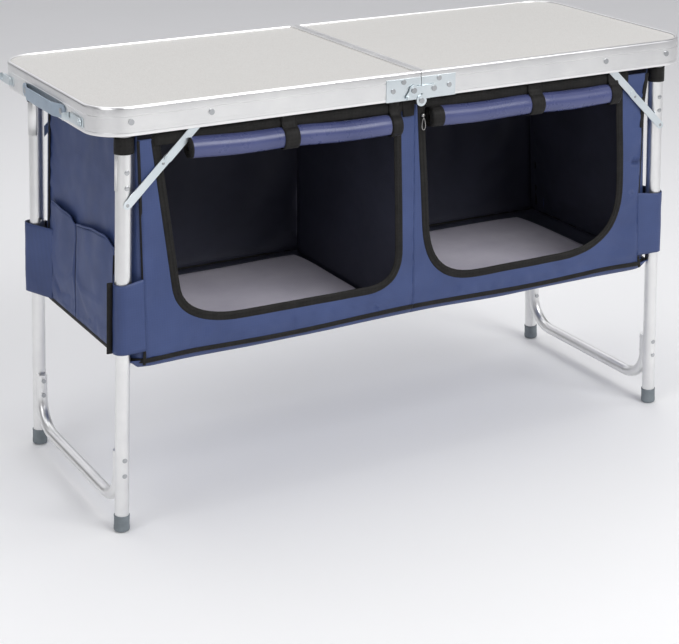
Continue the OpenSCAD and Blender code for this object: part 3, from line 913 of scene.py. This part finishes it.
def make_roll(side):
    """The window's door rolled up under the rim: a true spiral of cloth, nipped by its straps."""
    x0, x1 = side.roll
    turns, inner, outer = 4.5, 5.5, 19.2

    def place(u, v):
        x = x0 + (x1 - x0) * u
        nip = max(exp(-((x - tie) / 13) ** 2) for tie, wide in side.straps)
        radius = inner + (outer - inner) * v
        radius *= 1 - 0.09 * nip + 0.03 * ripple(x, 30 * v, 0, 90, 6) * (0.4 + 0.6 * v)
        angle = 2 * pi * turns * v + 0.9 + 0.10 * ripple(x, 0, 0, 120, 5)
        sag = 2.2 * sin(pi * u * 2) ** 2
        flat = 0.93 if v > 0.5 else 1
        z = side.roll_z(x) - sag + radius * sin(angle)
        return Vector((x, ROLL_Y + radius * cos(angle) * flat, z))

    roll = grid(side.name + "_door_roll", place, 84, 170, NAVY_ROLL, BLACK)
    low, high = side.black_end
    for face in roll.data.polygons:
        face.material_index = int(low < face.center.x / MM < high or face.center.x / MM < x0 + 3)
    thicken(roll, 1.1)
    tuck(roll, side.body)
    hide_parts(side.name + "_rolled_door")
    for index, (x, wide) in enumerate(side.straps):
        make_roll_strap(side, index, x, wide)


def make_roll_strap(side, index, x, wide):
    """A strap from the header down round the roll and back up behind it."""
    radius, axis_z = 19.4, side.roll_z(x)
    front = [(ROLL_Y - 0.94 * radius * cos(a), axis_z - 1 + radius * sin(a))
             for a in (radians(66 - 12 * k) for k in range(21))]
    hung = [(FRONT_Y - 5, RIM_Z - 2), (FRONT_Y - 6, axis_z + 26)]
    path = [Vector((x, y, z)) for y, z in hung + front]

    def place(u, v):
        point = along(path, v)
        return Vector((x + wide * (u - 0.5), point.y - 0.4 * sin(pi * u), point.z))

    strap = grid(f"{side.name}_roll_strap_{index}", place, 6, 66, BLACK, BLACK)
    thicken(strap, 1.5)
    tuck(strap, side.body)


def make_header(side):
    """Black band that hangs from the rim, deeper over the window than over the centre post."""
    outer = side.sign * (max(abs(p.x) for p in side.window) - 2)

    def place(u, v):
        x = outer + (CENTRE_X - outer) * u
        depth = 12 + 12 * ease((abs(x - CENTRE_X) - 6) / 30)
        z = RIM_Z + 3 - (depth + 3) * v
        return Vector((x, FRONT_Y + 1 - 5 * ease(v * 1.6) + 0.5 * ripple(x, 0, z, 50, 1), z))

    band = grid(side.name + "_header", place, 60, 8, BLACK, BLACK)
    face_towards(band, (0, -1, 0))
    thicken(band, 1.4)
    collapse(band, side.body)


def bind(name, side, path, section, up=(0, 0, 1)):
    """Binding tape along an edge of the organiser."""
    collapse(sweep(name, path, section, BLACK, up=up), side.body)


def make_bindings(side):
    """Tape round the bottom seam, down the front panel's outer edge and down the rear corner."""
    sign = side.sign
    out = Vector((sign, 0, 0))
    path = [front_surface(x, hem_z(x)) + Vector((0, -0.8, 0))
            for x in np.linspace(CENTRE_X, side.panel_edge(SIDE_LOW), 41)]
    path += [wall_track(side, 1 - k / 40, WALL_LOW) + out for k in range(1, 41)]
    path += [Vector((sign * 552 * (1 - k / 30), BACK_Y + 1, WALL_LOW)) for k in range(1, 31)]
    bind(side.name + "_seam_binding", side, path, oval(3.8, 9))

    def edge(z):
        return Vector((side.panel_edge(z), FRONT_Y - 1.6, z))

    wide = 5.4 if sign < 0 else 9
    front = [edge(z) for z in np.linspace(CLOTH_TOP - 1, 452, 30)]
    bind(side.name + "_edge_binding", side, front, oval(wide, 2.6), (0, -1, 0))
    corner = [edge(z) + out * (332 - z) * 0.1 for z in np.linspace(332, 305, 8)]
    bind(side.name + "_corner_tab", side, corner, oval(6, 3.4), (0, -1, 0))
    rear = [wall_track(side, 0.06, z) + Vector((sign, 0.5, 0)) for z in np.linspace(CLOTH_TOP, SIDE_LOW, 40)]
    bind(side.name + "_rear_binding", side, rear, oval(3.4, 6), (0, 1, 0))


def make_pockets():
    """Two open pockets on the left side wall, with hemmed top edges that dip at the front."""
    for index, (y0, y1, z0, z1, rise, dip) in enumerate(((158, 30, 498, 494, 5, 9),
                                                         (27, -147, 487, 508, 6, 16))):
        def place(u, v):
            y = y0 + (y1 - y0) * u
            top = z0 + (z1 - z0) * u + rise * sin(pi * u) - dip * ease((u - 0.8) / 0.2)
            z = top + (SIDE_LOW + 3 - top) * v
            puff = 5.5 * sin(pi * u) ** 0.6 * ease((1 - v) / 0.5) + 2
            lean = 1.6 * ripple(0, y * 1.5, z * 0.5, 60, 13 + y0)
            return wall_point(LEFT, y, z) + Vector((-puff - lean * (1 - v), 0, 0))

        pocket = grid(f"side_pocket_{index}", place, 24, 26, NAVY, LINING)
        face_towards(pocket, (-1, 0, 0))
        drape(pocket, lambda p: abs(p.y - y0) < 3 or abs(p.y - y1) < 3 or p.z < SIDE_LOW + 9, 3)
        area = sum(f.area for f in pocket.data.polygons)
        thicken(pocket, 1.3, lined=True)
        collapse(pocket, "left_top")
        flat = (abs(y1 - y0) * MM * 1.03, 0.2)
        area = round(min(area, flat[0] * flat[1]), 4)
        hem = [place(k / 24, 0) + Vector((0.2, 0, 0.6)) for k in range(25)]
        collapse(sweep(f"side_pocket_hem_{index}", hem, oval(2.4, 4, 8), NAVY), "left_top")
    front_edge = [place(1, v) + Vector((-0.6, 0, 0)) for v in np.linspace(0.06, 0.98, 20)]
    bind("side_pocket_edge", LEFT, front_edge, oval(3, 3.2, 8), (-1, 0, 0))


def sleeve_track(side, row, z):
    """Plan of a leg sleeve: from one wall round the outside of the leg and in to the other wall."""
    centre, radius = leg_x(z), UPPER_R + 2.4
    if row == "front":
        edge = side.panel_edge(z)
        stops = [(abs(edge) - 1, front_surface(edge, z).y)]
        turns = np.radians(np.linspace(-92, 20, 16))
        swell = [0.6 * ripple(a * 12, 0, z, 40, 17) for a in turns]
        end, y_sign = (wall_x(z) + 2, -150), -1
    else:
        stops = [(wall_x(z) + 2, 148)]
        turns = np.radians(np.linspace(-16, 108, 18))
        swell = [7.5 * sin(pi * k / 17) ** 2 for k in range(18)]
        end, y_sign = (527, BACK_Y + 2.5), 1
    stops += [(centre + (radius + more) * cos(a), y_sign * LEG_Y + (radius + more) * sin(a))
              for a, more in zip(turns, swell)]
    return [Vector((side.sign * x, y, z)) for x, y in stops + [end]]


def make_sleeves(side):
    """Flaps that run on from the walls round each leg where its tubes overlap."""
    sign = side.sign
    for row, z_top, z_low in (("front", 452, 330), ("rear", 445, 312)):
        def place(u, v):
            z = z_top + (z_low - z_top) * v
            point = along(sleeve_track(side, row, z), u)
            if row == "front":
                rise = 6 * (1 - ease(u / 0.35)) + 2 * ease((u - 0.5) / 0.3)
                point.z += (1 - v) * rise
            return point + Vector((sign * 0.8 * ripple(point.x, point.y, z, 38, 4), 0, 0))

        sleeve = grid(f"{row}_{side.name}_sleeve", place, 52, 20, NAVY, LINING)
        face_away(sleeve, Vector((sign * leg_x(390), (-LEG_Y if row == "front" else LEG_Y), 390)))
        thicken(sleeve, 1.6, lined=True)
        collapse(sleeve, side.body)
        flat = (run([place(k / 52, 0.5) for k in range(53)]) * MM, (z_top - z_low) * MM)
        if row == "front":
            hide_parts(side.name + "_leg_sleeves")
            fin = radians(18 if sign < 0 else 52)
            reach = UPPER_R + (8 if sign < 0 else 4.6)
            path = [Vector((sign * (leg_x(z) + reach * cos(fin)), -LEG_Y + reach * sin(fin), z))
                    for z in np.linspace(z_top + 2, z_low - 1, 12)]
            up = (sign, 0, 0.05) if sign < 0 else (sign * 0.5, 1, 0)
            bind(f"{row}_{side.name}_sleeve_binding", side, path, oval(2.6, 11, 10), up)


def make_leg_straps(side):
    """Black bands that tie the organiser's top corners to the legs."""
    sign = side.sign
    for row, y_sign in (("front", -1), ("rear", 1)):
        def place(u, v):
            z = 701 - 28 * v
            angle = 2 * pi * u
            r = UPPER_R + 1.4 + 0.5 * ripple(30 * cos(angle), 30 * sin(angle), z, 14, 2)
            return Vector((sign * leg_x(z) + r * cos(angle), y_sign * LEG_Y + r * sin(angle), z))

        strap = grid(f"{row}_{side.name}_leg_strap", place, 36, 8, BLACK, BLACK)
        merge_seam(strap)
        face_away(strap, Vector((sign * AXLE_X, y_sign * LEG_Y, 687)))
        thicken(strap, 1.2, 1)
        collapse(strap, side.body)


def merge_seam(piece):
    """Welds the edge where a wrapped grid meets itself."""
    bm = bmesh.new()
    bm.from_mesh(piece.data)
    bmesh.ops.remove_doubles(bm, verts=bm.verts, dist=0.0001)
    bm.to_mesh(piece.data)
    bm.free()


def make_zip_puller():
    """Zip slider and its teardrop tag at the right window's top corner."""
    x, y = 13, FRONT_Y - 7
    profile = [(1.2, 0), (3.2, 0.4), (3.6, 2), (3.2, 3.6), (1.2, 4)]
    slider = lathe("zip_slider", profile, (x, y + 3, 672), (0, -1, 0), ZIP_METAL, 20)
    ring = [Vector((x + 3.4 * sin(a) * (1 - 0.35 * cos(a)), y - 1.2, 657 + 10.5 * cos(a)))
            for a in (2 * pi * k / 28 for k in range(28))]
    tag = sweep("zip_tag", ring, oval(1.6, 1.4, 8), ZIP_METAL, closed=True, up=(0, 1, 0))
    collapse(join("right_zip_puller", [slider, tag]), "right_top")


def make_centre_strap():
    """Black strap that hangs the centre post of the organiser under the hinge."""
    def place(u, v):
        z = RIM_Z + 2 - 34 * v
        x = -17 + (26 - 4 * v) * (u - 0.5)
        y = FRONT_Y - 1.5 - 3.5 * ease(v * 1.6) + 0.6 * ripple(x, 0, z, 20, 2)
        return Vector((x, y, z))

    strap = grid("centre_strap", place, 8, 12, BLACK, BLACK)
    face_towards(strap, (0, -1, 0))
    thicken(strap, 1.6)
    collapse(strap, "left_top")


# ---- room, light and camera ----


def make_room():
    """A plain pale floor under a soft grey surround."""
    g = Graph("studio_white")
    g.put(Roughness=0.8)
    white = g.finish(g.ramp(g.noise(2), [(0.3, (0.9108, 0.9108, 0.9108)), (0.7, (0.92, 0.92, 0.92))]))
    bpy.ops.mesh.primitive_plane_add(size=40, location=(0, 0, -0.0005))
    floor = bpy.context.object
    floor.name = "studio_floor"
    floor.data.materials.append(white)
    world = bpy.data.worlds.new("studio")
    bpy.context.scene.world = world
    g = Graph("studio", world, "Background", "Generated")
    split = g.add("ShaderNodeSeparateXYZ")
    g.join(g.coords, split.inputs[0])
    height, patches = [g.ramp(source, [(place, (grey, grey, grey * 1.02)) for place, grey in stops])
                       for source, stops in ((split.outputs["Z"], ((0, 0.34), (0.6, 1))),
                                             (g.noise(1.6, 0), ((0.42, 0.22), (0.56, 1.25))))]
    g.join(g.mix(1, height, patches, "MULTIPLY"), g.shader.inputs["Color"])
    g.shader.inputs["Strength"].default_value = 0.92


def area_light(name, place, target, size, power):
    light = bpy.data.lights.new(name, "AREA")
    light.shape = "RECTANGLE"
    light.size, light.size_y = size
    light.energy = power
    lamp = put_object(name, light)
    lamp.location = place
    lamp.rotation_euler = (Vector(target) - Vector(place)).to_track_quat("-Z", "Y").to_euler()


def make_lights():
    area_light("key", (1, -3, 2.7), (0, 0, 0.5), (2.4, 1.8), 66)
    area_light("fill", (-2.8, -1.6, 1.7), (0, 0, 0.5), (1.6, 1.6), 14)
    area_light("top", (0, 0.6, 3.4), (0, 0, 0.7), (3.2, 2.4), 44)


def make_camera():
    """Eye-height camera off the front left corner, at the fitted distance and lens."""
    camera = bpy.data.cameras.new("camera")
    camera.sensor_width = 36
    camera.lens = LENS
    eye = put_object("camera", camera)
    eye.location = EYE
    ahead = Vector((-sin(YAW) * cos(PITCH), cos(YAW) * cos(PITCH), -sin(PITCH)))
    eye.rotation_euler = ahead.to_track_quat("-Z", "Y").to_euler()
    bpy.context.scene.camera = eye
    bpy.context.scene.view_settings.view_transform = "Standard"


make_camera()
make_room()
make_lights()
dress_nodes()
make_handle()
for name, sign in (("left", -1), ("right", 1)):
    for build in (make_rim, make_feet, make_leg_rivets, make_snap_buttons, make_leg_brackets,
                  make_elbow_rivets):
        build(name, sign)
for part in (LEFT, RIGHT):
    for build in (make_front_panel, make_window_trim, make_side_wall, make_back_wall, make_base,
                  make_floor_pad, make_roll, make_header, make_bindings, make_sleeves, make_leg_straps):
        build(part)
make_partition()
make_pockets()
make_zip_puller()
make_centre_strap()
